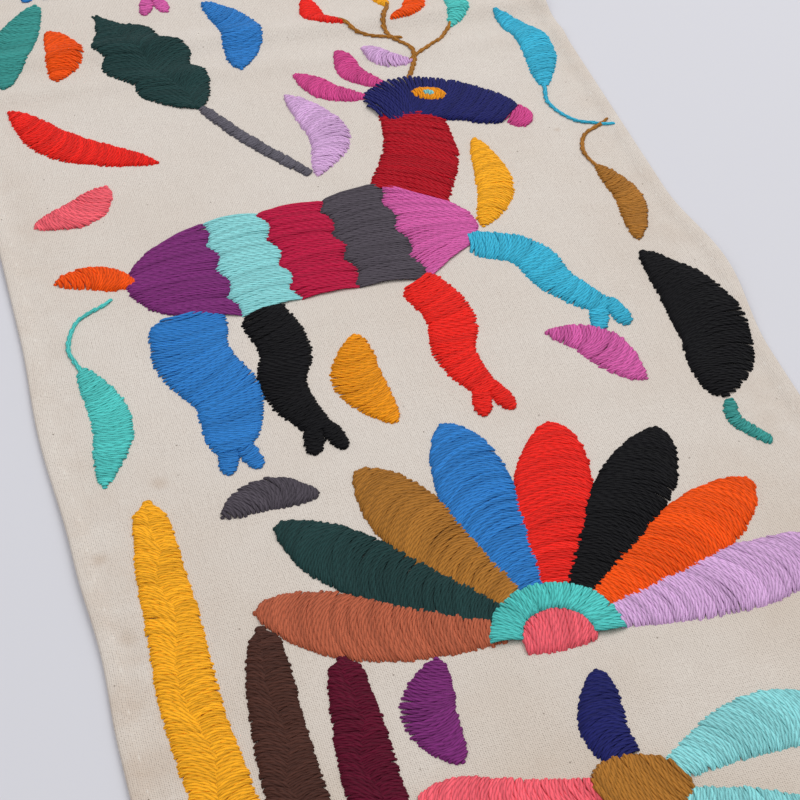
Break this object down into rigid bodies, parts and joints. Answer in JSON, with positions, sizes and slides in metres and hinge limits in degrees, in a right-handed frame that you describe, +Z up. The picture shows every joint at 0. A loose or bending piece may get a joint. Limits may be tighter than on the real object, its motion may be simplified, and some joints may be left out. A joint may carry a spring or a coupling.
{
  "type": "embroidered cotton runner",
  "caption": "Long narrow runner of unbleached plain-woven cotton with a narrow turned hem, embroidered all over, laid flat with soft crosswise storage creases.",
  "frame": {"origin": "middle of the cloth's underside, on the surface it lies on", "axes": "+X across the cloth, +Y along it, +Z up out of the embroidered face"},
  "size_m": [0.259, 0.9, 0.0047],
  "materials": {
    "cotton": "unbleached plain-woven cotton, matt",
    "floss": "stranded cotton embroidery floss, soft sheen"
  },
  "bodies": {
    "root": {"cloth": "cotton"}
  },
  "joints": []
}
